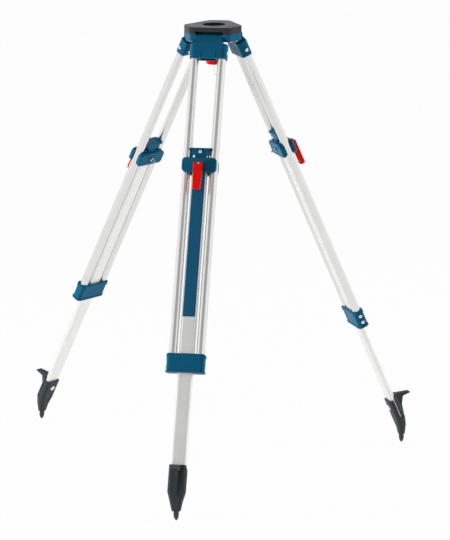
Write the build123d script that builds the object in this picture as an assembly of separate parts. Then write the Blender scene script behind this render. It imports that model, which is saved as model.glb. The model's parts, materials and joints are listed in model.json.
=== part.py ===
from build123d import *
from math import cos, radians, sin
import os

# Construction tripod with three sliding legs and cam clamps, in millimetres.
# The origin is the centre of the head's top face, +Z is up and the front leg points along -Y.
# Each leg is drawn hanging straight down from its hinge axis: X along the axis, Y outward, Z up.

# Stance: height of the head over the ground, and each leg's direction and angle from the vertical
head_height = 1178.0
leg_azimuth = {"front": -90.0, "right": 30.0, "left": 150.0}
leg_splay = {"front": 23.6, "right": 23.0, "left": 28.9}

# Clearances
fixed_gap = 0.1
running_gap = 0.05
sliding_gap = 0.4
free_gap = 1.0

# Head plate, a hexagon with long sides over the legs
plate_thickness = 18.0
plate_leg_side = 61.0
plate_corner_side = 75.0
plate_corner_round = 18.0
plate_edge_round = 1.6
plate_hole_radius = 30.0
plate_notch_height = 7.0
plate_notch_slope = 4.0

# Head body with the hinge lugs
body_height = 20.0
body_inset = 1.5
body_edge_round = 1.5
body_bore_radius = 34.0
lug_width = 13.0
lug_radius = 10.0
plate_screw_spread = 10.0
plate_screw_inset = 6.0

# Hinge
hinge_radius = 51.5
hinge_drop = 28.0
hinge_pin_radius = 4.0
knuckle_radius = 10.0
knuckle_length = 69.0

# Outer tubes
tube_diameter = 22.0
tube_wall = 1.5
tube_spacing = 71.0
tube_plane = 4.5
tube_top = 29.0

# Hinge bracket
bracket_shoulder = 19.0
bracket_bottom = 58.5
bracket_brow_angle = 20.0
bracket_wall = 2.3
bracket_rear_wall = 6.0
bracket_rear_round = 7.0
bracket_rim_chamfer = 1.0
bracket_pocket_wall = 4.0
bracket_rib_width = 2.4
bracket_rib_length = 18.0
bracket_rib_height = 0.9
bracket_rib_inset = 3.5

# Lower collar
collar_bottom = 878.0
collar_height = 49.0
collar_floor = 4.0
collar_wall = 4.7
collar_lip = 1.6
collar_corner_round = 11.8
collar_rim_chamfer = 1.0
collar_shoulder_round = 6.0
collar_top_lip_height = 10.0
collar_bottom_lip_height = 5.0
collar_screw_pitch = 18.0

# Inner leg
leg_width = 41.0
leg_depth = 17.0
leg_wall = 1.8
leg_corner_round = 7.5
leg_passage_gap = 0.7

# Label strip on the front leg
label_width = 33.0
label_length = 374.0
label_thickness = 0.25

# Guide block on top of the inner leg
guide_flange_width = 60.0
guide_flange_height = 3.5
guide_flange_overhang = 3.0
guide_flange_round = 4.0
guide_height = 25.0
guide_depth = 22.0
guide_face_wall = 4.0
guide_plug_length = 31.0
guide_window_width = 5.5
guide_window_height = 10.0
guide_tongue_width = 28.0
guide_screw_drop = 10.0

# Cam clamp
clamp_above_tip = 908.0
jaw_width = 90.0
jaw_height = 38.0
jaw_corner_round = 10.0
jaw_edge_round = 2.4
jaw_thickness = 11.0
jaw_seat = 9.5
jaw_tube_gap = 0.3
jaw_tongue_thickness = 2.0
jaw_tongue_reach = 6.0
bolt_radius = 2.5
bolt_end_length = 12.0
eye_radius = 4.5
eye_width = 5.6
nut_across_flats = 10.0
nut_height = 5.0
nut_flange_radius = 7.0
nut_flange_height = 1.2
nut_recess_depth = 4.0

# Cam lever
cam_reach = 6.6
cam_radius = 4.6
cam_gap = 0.3
lever_head_radius = 5.3
lever_head_offset = 3.7
lever_length = 67.0
lever_thickness = 12.0
lever_top_width = 24.0
lever_bottom_width = 19.5
lever_end_round = 5.0
lever_tip_round = 4.8
lever_edge_round = 1.5
lever_lip_radius = 3.0
lever_tilt = 1.0
lever_channel_width = 12.0
lever_channel_depth = 4.0
lever_pin_radius = 2.0

# Foot: shoe with a step, and its steel point
foot_length = 130.0
tip_inset = 19.0
foot_cant = 22.0
shoe_half_width = 23.2
shoe_rear = 12.8
shoe_front = 14.8
shoe_corner_round = 10.0
shoe_straight = 62.0
shoe_belly = 86.0
shoe_belly_half_width = 16.6
shoe_belly_rear = 14.0
shoe_belly_front = 10.4
shoe_socket_depth = 60.0
shoe_end_half_width = 11.8
shoe_end_half_depth = 8.4
shoe_slot_rear = 0.4
shoe_slot_front = 4.4
shoe_slot_depth = 58.0
shoe_rim_dip = 4.0
shoe_rim_dip_radius = 14.0
shoe_rim_dip_place = -4.0
shoe_screw_drop = 25.0
step_rise = 6.0
step_reach = 57.5
step_fall = 13.0
step_half_width = 8.5
step_thickness = 9.5
step_nose = 4.0
step_tip_round = 5.0
step_groove_pitch = 6.5
step_groove_count = 5
step_groove_depth = 1.4
web_half_width = 4.5
web_top_reach = 35.0
web_middle_reach = 23.0
web_middle_drop = 31.0
web_low_reach = 15.5
web_low_drop = 70.0
point_length = 24.0
point_radius = 7.0
point_straight = 11.0
point_brow_radius = 5.6
point_brow = 18.0
point_end_radius = 2.2
point_spigot_radius = 4.0
point_spigot_length = 14.0

# Screws
screw_head_radius = 4.8
screw_head_height = 4.0
screw_head_round = 2.2
screw_recess_radius = 1.6
screw_recess_depth = 1.2
screw_radius = 2.0
screw_length = 10.0
shoe_screw_head_radius = 7.5
plate_screw_radius = 3.0
plate_screw_head_radius = 5.0
plate_screw_head_height = 3.0

# Fixing screw on its swing arm
arm_pivot_radius = 46.0
arm_width = 30.0
arm_thickness = 3.0
arm_slot_travel = 12.0
arm_lift_gap = 0.5
stud_radius = 4.0
stud_head_radius = 8.0
stud_head_height = 3.0
stud_head_round = 1.5
stud_length = 14.0
block_radius = 13.0
block_flange_height = 3.0
block_neck_radius = 10.0
sleeve_radius = 8.0
sleeve_flange_radius = 10.5
sleeve_flange_height = 2.0
thread_radius = 7.9375
thread_drop = 6.0
thread_chamfer = 1.2
shank_radius = 6.0
screw_lift = 18.0
knob_radius = 21.5
knob_height = 40.0
knob_bottom_round = 4.8
knob_top_round = 2.0
knob_lobes = 12
knob_lobe_radius = 4.0
knob_lobe_depth = 1.2
knob_bore_depth = 30.0
hook_wire_radius = 0.9
hook_drop = 29.0
hook_bend_radius = 4.0
hook_stem_depth = 8.0
hook_lip = 6.0

# Values worked out from those above
tube_radius = tube_diameter / 2
tube_x = tube_spacing / 2
socket_radius = tube_radius + fixed_gap
tube_bottom = collar_bottom - collar_floor
closed_length = collar_bottom + 3 * free_gap + step_rise + foot_length
tip_y = tube_plane - tip_inset
shoe_top = closed_length - foot_length
clamp_depth = closed_length - clamp_above_tip
leg_top = clamp_depth - jaw_height / 2 - free_gap
leg_bottom = shoe_top + shoe_socket_depth - free_gap
guide_bottom = leg_top
guide_top = guide_bottom - guide_height
jaw_front = tube_plane + jaw_seat + jaw_thickness
jaw_rear = tube_plane - jaw_seat - jaw_thickness
pivot_y = jaw_front + cam_gap + cam_reach
lug_inner = knuckle_length / 2 + sliding_gap
lug_outer = lug_inner + lug_width
body_top = -plate_thickness
body_bottom = body_top - body_height
arm_top = body_bottom - arm_lift_gap
arm_bottom = arm_top - arm_thickness
block_top = arm_top + block_flange_height + sliding_gap
block_bottom = arm_bottom - block_flange_height - sliding_gap
thread_bottom = block_top + sleeve_flange_height
knob_top = block_bottom - screw_lift - free_gap
knob_bottom = knob_top - knob_height


# Shapes used by several pieces

def box(x0, x1, y0, y1, z0, z1):
    centre = ((x0 + x1) / 2, (y0 + y1) / 2, (z0 + z1) / 2)
    return Pos(*centre) * Box(x1 - x0, y1 - y0, z1 - z0)


def rod_x(radius, x0, x1, y, z):
    return Pos((x0 + x1) / 2, y, z) * Rot(0, 90, 0) * Cylinder(radius, abs(x1 - x0))


def rod_y(radius, y0, y1, x, z):
    return Pos(x, (y0 + y1) / 2, z) * Rot(90, 0, 0) * Cylinder(radius, abs(y1 - y0))


def rod_z(radius, z0, z1, x=0.0, y=0.0):
    return Pos(x, y, (z0 + z1) / 2) * Cylinder(radius, abs(z1 - z0))


def prism_x(points, half_width):
    return extrude(Plane.YZ * Polygon(*points, align=None), half_width, both=True)


def prism_y(points, half_depth):
    return extrude(Plane.XZ * Polygon(*points, align=None), half_depth, both=True)


def prism_z(sketch, z0, z1):
    return extrude(Pos(0, 0, z0) * sketch, z1 - z0)


def hexagon(leg_side, corner_side):
    points = []
    for side in range(6):
        angle = radians(-90.0 + 60.0 * side)
        reach, following = (leg_side, corner_side) if side % 2 == 0 else (corner_side, leg_side)
        along = (following - reach * cos(radians(60.0))) / sin(radians(60.0))
        x = reach * cos(angle) - along * sin(angle)
        y = reach * sin(angle) + along * cos(angle)
        points.append((x, y))
    return Polygon(*points, align=None)


def around_legs(solid):
    return [Rot(0, 0, azimuth + 90.0) * solid for azimuth in leg_azimuth.values()]


def pan_screw(head_radius, head_height, radius, length):
    head = rod_z(head_radius, 0, head_height)
    head = fillet(head.edges().group_by(Axis.Z)[-1], screw_head_round)
    recess = rod_z(screw_recess_radius, head_height - screw_recess_depth, head_height)
    return head - recess + rod_z(radius, -length, 0)


# Placement of the legs

def leg_length(name):
    angle = radians(leg_splay[name])
    return (head_height - hinge_drop + tip_y * sin(angle)) / cos(angle)


def leg_frame(name):
    azimuth = radians(leg_azimuth[name])
    hinge = Pos(hinge_radius * cos(azimuth), hinge_radius * sin(azimuth), -hinge_drop)
    return hinge * Rot(0, 0, leg_azimuth[name] - 90.0) * Rot(leg_splay[name], 0, 0)


def slider_frame(name):
    return leg_frame(name) * Pos(0, 0, closed_length - leg_length(name))


def lever_frame(name):
    return slider_frame(name) * Pos(0, pivot_y, -clamp_depth)


# Head

def plate_screw_places():
    places = []
    for azimuth in leg_azimuth.values():
        corner = radians(azimuth + 60.0)
        for side in (-1, 1):
            across = side * plate_screw_spread
            reach = plate_corner_side - body_inset - plate_screw_inset
            x = reach * cos(corner) - across * sin(corner)
            y = reach * sin(corner) + across * cos(corner)
            places.append((x, y))
    return places


def head_plate():
    outline = hexagon(plate_leg_side, plate_corner_side)
    outline = fillet(outline.vertices(), plate_corner_round)
    plate = prism_z(outline, -plate_thickness, 0)
    plate = fillet(plate.edges().group_by(Axis.Z)[-1], plate_edge_round)
    plate -= rod_z(plate_hole_radius, -plate_thickness, 0)
    notch_half = lug_inner
    roof = -plate_thickness + plate_notch_height
    notch = prism_y(
        [
            (-notch_half - plate_notch_slope, -plate_thickness),
            (-notch_half, roof),
            (notch_half, roof),
            (notch_half + plate_notch_slope, -plate_thickness),
        ],
        plate_corner_side,
    )
    notch = notch & box(
        -plate_corner_side, plate_corner_side, -2 * plate_corner_side,
        -hinge_radius + knuckle_radius + free_gap, -plate_thickness, 0,
    )
    for cut in around_legs(notch):
        plate -= cut
    for x, y in plate_screw_places():
        plate -= rod_z(plate_screw_radius + fixed_gap, -plate_thickness, -plate_thickness / 2, x, y)
    return plate


def head_body():
    outline = hexagon(plate_leg_side - body_inset, plate_corner_side - body_inset)
    outline = fillet(outline.vertices(), plate_corner_round)
    body = prism_z(outline, body_bottom, body_top)
    body = fillet(body.edges().group_by(Axis.Z)[0], body_edge_round)
    lug_front = -hinge_radius - lug_radius
    lug = box(lug_inner, lug_outer, -hinge_radius, -body_bore_radius, body_bottom, body_top)
    lug += box(lug_inner, lug_outer, lug_front, -body_bore_radius, -hinge_drop, body_top)
    lug += rod_x(lug_radius, lug_inner, lug_outer, -hinge_radius, -hinge_drop)
    lugs = lug + mirror(lug, about=Plane.YZ)
    for pair in around_legs(lugs):
        body += pair
    notch = box(
        -lug_inner, lug_inner, -2 * plate_corner_side,
        -hinge_radius + knuckle_radius + free_gap, body_bottom, body_top,
    )
    pin_bore = rod_x(hinge_pin_radius + running_gap, -lug_outer, lug_outer, -hinge_radius, -hinge_drop)
    for cut in around_legs(notch) + around_legs(pin_bore):
        body -= cut
    body -= rod_z(body_bore_radius, body_bottom, body_top)
    for x, y in plate_screw_places():
        body -= rod_z(plate_screw_radius + fixed_gap, body_bottom, body_top, x, y)
    body -= rod_z(stud_radius + fixed_gap, body_bottom, body_bottom + stud_length, 0, arm_pivot_radius)
    return body


def plate_screws():
    length = body_height + plate_thickness / 2 - free_gap
    screw = pan_screw(plate_screw_head_radius, plate_screw_head_height, plate_screw_radius, length)
    return [Pos(x, y, body_bottom) * Rot(180, 0, 0) * screw for x, y in plate_screw_places()]


def hinge_pins():
    return around_legs(rod_x(hinge_pin_radius, -lug_outer, lug_outer, -hinge_radius, -hinge_drop))


# Fixing screw on its swing arm

def swing_arm():
    slot_half_width = block_neck_radius + sliding_gap
    slot_half = arm_slot_travel + slot_half_width
    tail = -slot_half - arm_width / 2 + slot_half_width
    length = arm_pivot_radius + arm_width / 2 - tail
    outline = Pos(0, tail + length / 2) * SlotOverall(length, arm_width, rotation=90)
    slot = SlotOverall(2 * slot_half, 2 * slot_half_width, rotation=90)
    arm = prism_z(outline - slot, arm_bottom, arm_top)
    return arm - rod_z(stud_radius + running_gap, arm_bottom, arm_top, 0, arm_pivot_radius)


def arm_stud():
    head_top = arm_bottom - arm_lift_gap
    stud = rod_z(stud_head_radius, head_top - stud_head_height, head_top)
    stud = fillet(stud.edges().group_by(Axis.Z)[0], stud_head_round)
    stud += rod_z(stud_radius, head_top, body_bottom + stud_length - free_gap)
    return Pos(0, arm_pivot_radius, 0) * stud


def slot_block():
    block = rod_z(block_radius, arm_top + sliding_gap, block_top)
    block += rod_z(block_neck_radius, block_bottom, block_top)
    block += rod_z(block_radius, block_bottom, arm_bottom - sliding_gap)
    return block - rod_z(sleeve_radius + running_gap, block_bottom, block_top)


def screw_sleeve():
    sleeve = rod_z(sleeve_flange_radius, block_top, thread_bottom)
    sleeve += rod_z(sleeve_radius, knob_top, thread_bottom)
    return sleeve - rod_z(shank_radius + running_gap, knob_top, thread_bottom)


def fixing_screw():
    thread = rod_z(thread_radius, thread_bottom, -thread_drop)
    thread = chamfer(thread.edges().group_by(Axis.Z)[-1], thread_chamfer)
    return thread + rod_z(shank_radius, knob_top - knob_bore_depth, thread_bottom)


def knob():
    grip = rod_z(knob_radius, knob_bottom, knob_top)
    grip = fillet(grip.edges().group_by(Axis.Z)[0], knob_bottom_round)
    grip = fillet(grip.edges().group_by(Axis.Z)[-1], knob_top_round)
    lobe_centre = knob_radius + knob_lobe_radius - knob_lobe_depth
    for lobe in range(knob_lobes):
        angle = radians(360.0 * lobe / knob_lobes)
        x = lobe_centre * cos(angle)
        y = lobe_centre * sin(angle)
        grip -= rod_z(knob_lobe_radius, knob_bottom, knob_top, x, y)
    grip -= rod_z(shank_radius + running_gap, knob_top - knob_bore_depth, knob_top)
    return grip - rod_z(hook_wire_radius + running_gap, knob_bottom, knob_bottom + hook_stem_depth)


def plumb_hook():
    bend_z = knob_bottom - hook_drop + hook_wire_radius + hook_bend_radius
    top = (0, 0, knob_bottom + hook_stem_depth)
    bend_start = (0, 0, bend_z)
    bend_low = (hook_bend_radius, 0, bend_z - hook_bend_radius)
    bend_end = (2 * hook_bend_radius, 0, bend_z)
    lip = (2 * hook_bend_radius, 0, bend_z + hook_lip)
    path = Line(top, bend_start) + ThreePointArc(bend_start, bend_low, bend_end) + Line(bend_end, lip)
    return sweep(Plane(origin=top, z_dir=(0, 0, -1)) * Circle(hook_wire_radius), path=path)


# Upper frame of a leg

def frame_screw_places():
    bracket_side = tube_x + tube_radius + bracket_wall
    collar_side = tube_x + tube_radius + collar_wall - collar_lip
    bracket_z = -(tube_top + bracket_bottom) / 2 + 2 * free_gap
    collar_z = -collar_bottom + collar_height / 2
    places = []
    for side in (-1, 1):
        places.append((side, bracket_side, bracket_z))
    for half in (-0.5, 0.5):
        places.append((1, collar_side, collar_z + half * collar_screw_pitch))
    return places


def screw_bores(lowest, highest):
    bores = []
    for side, reach, z in frame_screw_places():
        if lowest < z < highest:
            inner = side * (reach - screw_length)
            bores.append(rod_x(screw_radius + fixed_gap, inner, side * reach, tube_plane, z))
    return bores


def frame_screws():
    screw = pan_screw(screw_head_radius, screw_head_height, screw_radius, screw_length)
    return [
        Pos(side * reach, tube_plane, z) * Rot(0, side * 90.0, 0) * screw
        for side, reach, z in frame_screw_places()
    ]


def bracket_profile():
    front = tube_plane + tube_radius + bracket_wall
    rear = tube_plane - tube_radius - bracket_rear_wall
    brow = radians(bracket_brow_angle)
    rear_shoulder = -body_bottom - hinge_drop + free_gap
    rear_step = -rear - knuckle_radius
    return [
        (-knuckle_radius, 0),
        (-knuckle_radius, -rear_shoulder),
        (rear, -rear_shoulder - rear_step),
        (rear, -bracket_bottom),
        (front, -bracket_bottom),
        (front, -bracket_shoulder),
        (knuckle_radius * cos(brow), knuckle_radius * sin(brow)),
        (0, 0),
    ]


def hinge_bracket():
    front = tube_plane + tube_radius + bracket_wall
    rear = tube_plane - tube_radius - bracket_rear_wall
    half_width = tube_x + tube_radius + bracket_wall
    outline = Pos(0, (front + rear) / 2) * Rectangle(2 * half_width, front - rear)
    outline = fillet(outline.vertices().group_by(Axis.Y)[-1], tube_radius + bracket_wall)
    outline = fillet(outline.vertices().group_by(Axis.Y)[0], bracket_rear_round)
    profile = bracket_profile()
    sockets = prism_z(outline, -bracket_bottom, -bracket_shoulder) & prism_x(profile, half_width)
    bracket = sockets + prism_x(profile, knuckle_length / 2)
    bracket = chamfer(bracket.edges().group_by(Axis.Z)[0], bracket_rim_chamfer)
    bracket += rod_x(knuckle_radius, -knuckle_length / 2, knuckle_length / 2, 0, 0)
    bracket -= rod_x(hinge_pin_radius + running_gap, -knuckle_length / 2, knuckle_length / 2, 0, 0)
    for side in (-1, 1):
        bracket -= rod_z(socket_radius, -bracket_bottom, -tube_top + fixed_gap, side * tube_x, tube_plane)
        rib_x = side * (tube_x - tube_radius - bracket_wall - bracket_rib_inset)
        bracket += Pos(rib_x, 0, 0) * box(
            -bracket_rib_width / 2, bracket_rib_width / 2, front - bracket_wall, front + bracket_rib_height,
            -bracket_bottom + bracket_rim_chamfer, -bracket_bottom + bracket_rib_length,
        )
    pocket_half = tube_x - socket_radius - bracket_pocket_wall
    bracket -= box(
        -pocket_half, pocket_half, rear + bracket_pocket_wall, front - bracket_pocket_wall,
        -bracket_bottom, -tube_top,
    )
    for bore in screw_bores(-bracket_bottom, 0):
        bracket -= bore
    return bracket


def outer_tube(side):
    tube = rod_z(tube_radius, -tube_bottom, -tube_top, side * tube_x, tube_plane)
    tube -= rod_z(tube_radius - tube_wall, -tube_bottom, -tube_top, side * tube_x, tube_plane)
    for bore in screw_bores(-collar_bottom, 0):
        tube -= bore
    return tube


def collar_outline(inset):
    half_width = tube_x + tube_radius + collar_wall - inset
    half_depth = tube_radius + collar_wall - inset
    return Pos(0, tube_plane) * RectangleRounded(2 * half_width, 2 * half_depth, collar_corner_round - inset)


def collar():
    top = -collar_bottom + collar_height
    top_lip = prism_z(collar_outline(0), top - collar_top_lip_height, top)
    half_width = tube_x + tube_radius + collar_wall
    shoulders = Pos(0, top - collar_height) * Rectangle(2 * half_width, 2 * collar_height)
    shoulders = fillet(shoulders.vertices().group_by(Axis.Y)[-1], collar_shoulder_round)
    top_lip = chamfer(top_lip.edges().group_by(Axis.Z)[-1], collar_rim_chamfer)
    top_lip = top_lip & extrude(Plane.XZ * shoulders, half_width, both=True)
    low_lip = prism_z(collar_outline(0), -collar_bottom, -collar_bottom + collar_bottom_lip_height)
    low_lip = chamfer(low_lip.edges().group_by(Axis.Z)[0], collar_rim_chamfer)
    waist_bottom = -collar_bottom + collar_bottom_lip_height / 2
    waist_top = top - collar_top_lip_height / 2
    block = prism_z(collar_outline(collar_lip), waist_bottom, waist_top) + top_lip + low_lip
    for side in (-1, 1):
        block -= rod_z(socket_radius, -tube_bottom, top, side * tube_x, tube_plane)
    passage = RectangleRounded(
        leg_width + 2 * leg_passage_gap, leg_depth + 2 * leg_passage_gap, leg_corner_round
    )
    block -= prism_z(Pos(0, tube_plane) * passage, -collar_bottom, top)
    for bore in screw_bores(-collar_bottom, top):
        block -= bore
    return block


# Sliding leg, drawn fully pushed in

def leg_section(inset):
    return Pos(0, tube_plane) * RectangleRounded(
        leg_width - 2 * inset, leg_depth - 2 * inset, leg_corner_round - inset
    )


def shoe_screw_depth():
    return shoe_top + shoe_screw_drop


def inner_leg():
    leg = prism_z(leg_section(0), -leg_bottom, -leg_top)
    leg -= prism_z(leg_section(leg_wall), -leg_bottom, -leg_top)
    leg -= rod_y(bolt_radius + fixed_gap, tube_plane - leg_depth, tube_plane + leg_depth, 0, -clamp_depth)
    rear = tube_plane - leg_depth / 2
    screw_z = -shoe_screw_depth()
    return leg - rod_y(screw_radius + fixed_gap, rear - leg_wall, rear + 2 * leg_wall, 0, screw_z)


def label():
    top = -clamp_depth - jaw_height / 2
    film = prism_z(leg_section(-label_thickness) - leg_section(0), top - label_length, top)
    return film & box(
        -label_width / 2, label_width / 2, tube_plane, tube_plane + leg_depth, top - label_length, top,
    )


def guide_block():
    flange_half = guide_depth / 2 + guide_flange_overhang
    flange = box(
        -guide_flange_width / 2, guide_flange_width / 2, tube_plane - flange_half,
        tube_plane + flange_half, -guide_top - guide_flange_height, -guide_top,
    )
    flange = fillet(flange.edges().filter_by(Axis.Z), guide_flange_round)
    body_half = tube_x - tube_radius - free_gap
    front = tube_plane + guide_depth / 2
    block = flange + box(
        -body_half, body_half, tube_plane - guide_depth / 2, front, -guide_bottom, -guide_top,
    )
    for side in (-1, 1):
        block -= rod_z(tube_radius + sliding_gap, -guide_bottom, -guide_top, side * tube_x, tube_plane)
        window_x = side * (guide_tongue_width + guide_window_width) / 2
        block -= Pos(window_x, tube_plane, 0) * box(
            -guide_window_width / 2, guide_window_width / 2, -guide_depth, guide_depth,
            -guide_bottom, -guide_bottom + guide_window_height,
        )
        relief_x = side * (guide_tongue_width / 2 + body_half)
        block -= Pos(relief_x, 0, 0) * box(
            -body_half, body_half, tube_plane - guide_depth, front - guide_face_wall,
            -guide_bottom, -guide_bottom + guide_window_height,
        )
    plug = prism_z(leg_section(leg_wall + fixed_gap), -guide_bottom - guide_plug_length, -guide_bottom)
    plug -= rod_y(bolt_radius + fixed_gap, tube_plane - leg_depth, tube_plane + leg_depth, 0, -clamp_depth)
    bore = rod_y(screw_radius + fixed_gap, front - screw_length, front, 0, -guide_top - guide_screw_drop)
    return block + plug - bore


def jaw_blank():
    outline = Plane.XZ * RectangleRounded(jaw_width, jaw_height, jaw_corner_round)
    blank = extrude(outline, -jaw_thickness)
    blank = fillet(blank.edges().group_by(Axis.Y)[-1], jaw_edge_round)
    blank = Pos(0, jaw_seat, 0) * blank
    for side in (-1, 1):
        blank -= rod_z(tube_radius + jaw_tube_gap, -jaw_height, jaw_height, side * tube_x, 0)
    return blank


def clamp_outer_jaw():
    jaw = jaw_blank() - rod_y(bolt_radius + sliding_gap, 0, jaw_seat + jaw_thickness, 0, 0)
    return Pos(0, tube_plane, -clamp_depth) * jaw


def clamp_inner_jaw():
    depth = jaw_seat + jaw_thickness
    jaw = jaw_blank() - rod_y(bolt_radius + fixed_gap, 0, depth, 0, 0)
    jaw -= rod_y(nut_flange_radius + free_gap, depth - nut_recess_depth, depth, 0, 0)
    gap_middle = (leg_width / 2 + tube_x - tube_radius) / 2
    half = jaw_tongue_thickness / 2
    low = -jaw_height / 2 - jaw_tongue_reach
    for side in (-1, 1):
        jaw += Pos(side * gap_middle, 0, 0) * box(
            -half, half, 0, jaw_seat + jaw_edge_round, low, jaw_height / 2
        )
    return Pos(0, tube_plane, -clamp_depth) * Rot(0, 0, 180) * jaw


def bolt_end_y():
    return jaw_rear + nut_recess_depth - nut_flange_height - nut_height - bolt_end_length


def clamp_bolt():
    bolt = rod_y(bolt_radius, bolt_end_y(), pivot_y - (eye_radius + lever_pin_radius) / 2, 0, 0)
    bolt += rod_x(eye_radius, -eye_width / 2, eye_width / 2, pivot_y, 0)
    bolt -= rod_x(lever_pin_radius + running_gap, -eye_width, eye_width, pivot_y, 0)
    return Pos(0, 0, -clamp_depth) * bolt


def clamp_nut():
    seat = jaw_rear + nut_recess_depth
    nut = rod_y(nut_flange_radius, seat - nut_flange_height, seat, 0, 0)
    hexagon_face = Plane.XZ * RegularPolygon(nut_across_flats / 2, 6, major_radius=False)
    nut += Pos(0, seat - nut_flange_height, 0) * extrude(hexagon_face, nut_height)
    nut -= rod_y(bolt_radius + running_gap, bolt_end_y(), seat, 0, 0)
    return Pos(0, 0, -clamp_depth) * nut


def slider_screws():
    length = screw_length - free_gap
    guide_screw = pan_screw(screw_head_radius, screw_head_height, screw_radius, length)
    guide_place = Pos(0, tube_plane + guide_depth / 2, -guide_top - guide_screw_drop) * Rot(-90, 0, 0)
    shoe_screw = pan_screw(shoe_screw_head_radius, screw_head_height, screw_radius, length)
    shoe_place = Pos(0, tube_plane - shoe_rear, -shoe_screw_depth()) * Rot(90, 0, 0)
    return [guide_place * guide_screw, shoe_place * shoe_screw]


# Cam lever, drawn about its pin

def lever():
    outer = lever_head_offset + lever_head_radius
    inner = outer - lever_thickness
    arm = prism_x([(inner, 0), (outer, 0), (outer, -lever_length), (inner, -lever_length)], lever_top_width)
    arm = fillet(arm.edges().filter_by(Axis.X).group_by(Axis.Z)[0], lever_tip_round)
    arm += rod_x(
        lever_lip_radius, -lever_top_width, lever_top_width, inner + lever_lip_radius / 2,
        -lever_length + lever_lip_radius,
    )
    arm = Rot(lever_tilt, 0, 0) * arm
    arm += rod_x(lever_head_radius, -lever_top_width, lever_top_width, lever_head_offset, 0)
    arm += rod_x(cam_radius, -lever_top_width, lever_top_width, cam_radius - cam_reach, 0)
    head = lever_head_radius + free_gap
    low = -lever_length - free_gap
    outline = Polygon(
        (-lever_bottom_width / 2, low), (lever_bottom_width / 2, low),
        (lever_top_width / 2, head), (-lever_top_width / 2, head), align=None,
    )
    outline = fillet(outline.vertices().group_by(Axis.Y)[0], lever_end_round)
    arm = arm & extrude(Plane.XZ * outline, 2 * lever_length, both=True)
    face = arm.faces().filter_by(GeomType.PLANE).sort_by(Axis.Y)[-1]
    arm = fillet(face.edges().filter_by(GeomType.LINE).sort_by(SortBy.LENGTH)[-2:], lever_edge_round)
    slot_half = eye_width / 2 + sliding_gap
    slot_low = -eye_radius - free_gap
    arm -= box(-slot_half, slot_half, -lever_thickness, lever_thickness, slot_low, lever_thickness)
    channel_top = slot_low - lever_thickness / 2
    channel = box(
        -lever_channel_width / 2, lever_channel_width / 2, inner - lever_channel_depth,
        inner + lever_channel_depth, -lever_length + lever_thickness, channel_top,
    )
    arm -= Rot(lever_tilt, 0, 0) * channel
    return arm - rod_x(lever_pin_radius + running_gap, -lever_top_width, lever_top_width, 0, 0)


def lever_pin():
    half = lever_top_width / 2 - free_gap
    return rod_x(lever_pin_radius, -half, half, 0, 0)


# Foot, drawn with its origin in the middle of the shoe's rim

def point_root():
    lean = radians(foot_cant)
    y = -tip_inset + point_length * sin(lean)
    z = -foot_length + point_length * cos(lean)
    return Pos(0, y, z) * Rot(-foot_cant, 0, 0)


def step():
    seat = leg_depth / 2 + fixed_gap
    tread_end = (step_reach - step_nose, step_rise - step_fall)
    tread_slope = step_fall / (tread_end[0] - shoe_front)
    under = step_rise - step_thickness
    tread = prism_x(
        [
            (seat, step_rise), (shoe_front, step_rise), tread_end,
            (step_reach, tread_end[1] - step_nose), (web_top_reach, under - step_fall / 2),
            (seat, under - step_fall / 2),
        ],
        step_half_width,
    )
    for groove in range(step_groove_count):
        y = tread_end[0] - (groove + 0.5) * step_groove_pitch
        z = step_rise - tread_slope * (y - shoe_front)
        half = step_groove_pitch / 3
        crest = z + step_groove_depth
        groove_profile = [(y - half, crest), (y, z - step_groove_depth), (y + half, crest)]
        tread -= prism_x(groove_profile, 2 * step_half_width)
    plan = Pos(0, step_reach / 2) * RectangleRounded(2 * step_half_width, step_reach, step_tip_round)
    tread = tread & prism_z(plan, -foot_length, foot_length)
    web = prism_x(
        [
            (seat, under - step_fall / 2), (web_top_reach, under - step_fall / 2),
            (web_middle_reach, -web_middle_drop), (web_low_reach, -web_low_drop),
            (shoe_belly_front - web_half_width, -shoe_belly), (seat - web_half_width, -shoe_belly),
            (seat, -shoe_straight),
        ],
        web_half_width,
    )
    return tread + web


def shoe_outline(half_width, rear, front, corner):
    return Pos(0, (front - rear) / 2) * RectangleRounded(2 * half_width, front + rear, corner)


def shoe():
    rim = shoe_outline(shoe_half_width, shoe_rear, shoe_front, shoe_corner_round)
    belly = shoe_outline(shoe_belly_half_width, shoe_belly_rear, shoe_belly_front, shoe_corner_round)
    end = shoe_outline(
        shoe_end_half_width, shoe_end_half_depth, shoe_end_half_depth, shoe_end_half_depth - fixed_gap
    )
    waist = Pos(0, 0, -shoe_straight) * rim
    belly = Pos(0, 0, -shoe_belly) * belly
    body = prism_z(rim, -shoe_straight, 0)
    body += loft([belly, waist]) + loft([point_root() * end, belly])
    leg_face = leg_depth / 2 + fixed_gap
    body += prism_z(rim, 0, step_rise) & box(
        -shoe_half_width, shoe_half_width, leg_face, shoe_front, 0, step_rise
    )
    for side in (-1, 1):
        body -= Pos(side * shoe_half_width, 0, 0) * box(
            -leg_corner_round, leg_corner_round, shoe_slot_rear, shoe_slot_front,
            -shoe_slot_depth, step_rise,
        )
    body -= rod_x(
        shoe_rim_dip_radius, -2 * shoe_half_width, 2 * shoe_half_width, shoe_rim_dip_place,
        shoe_rim_dip_radius - shoe_rim_dip,
    )
    body += step()
    socket = Pos(0, -tube_plane, 0) * leg_section(-fixed_gap)
    body -= prism_z(socket, -shoe_socket_depth, 2 * step_rise)
    body -= point_root() * rod_z(point_spigot_radius + fixed_gap, 0, point_spigot_length + free_gap)
    body -= rod_y(screw_radius + fixed_gap, -shoe_rear, 0, 0, -shoe_screw_drop)
    return Pos(0, tube_plane, -shoe_top) * body


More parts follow.
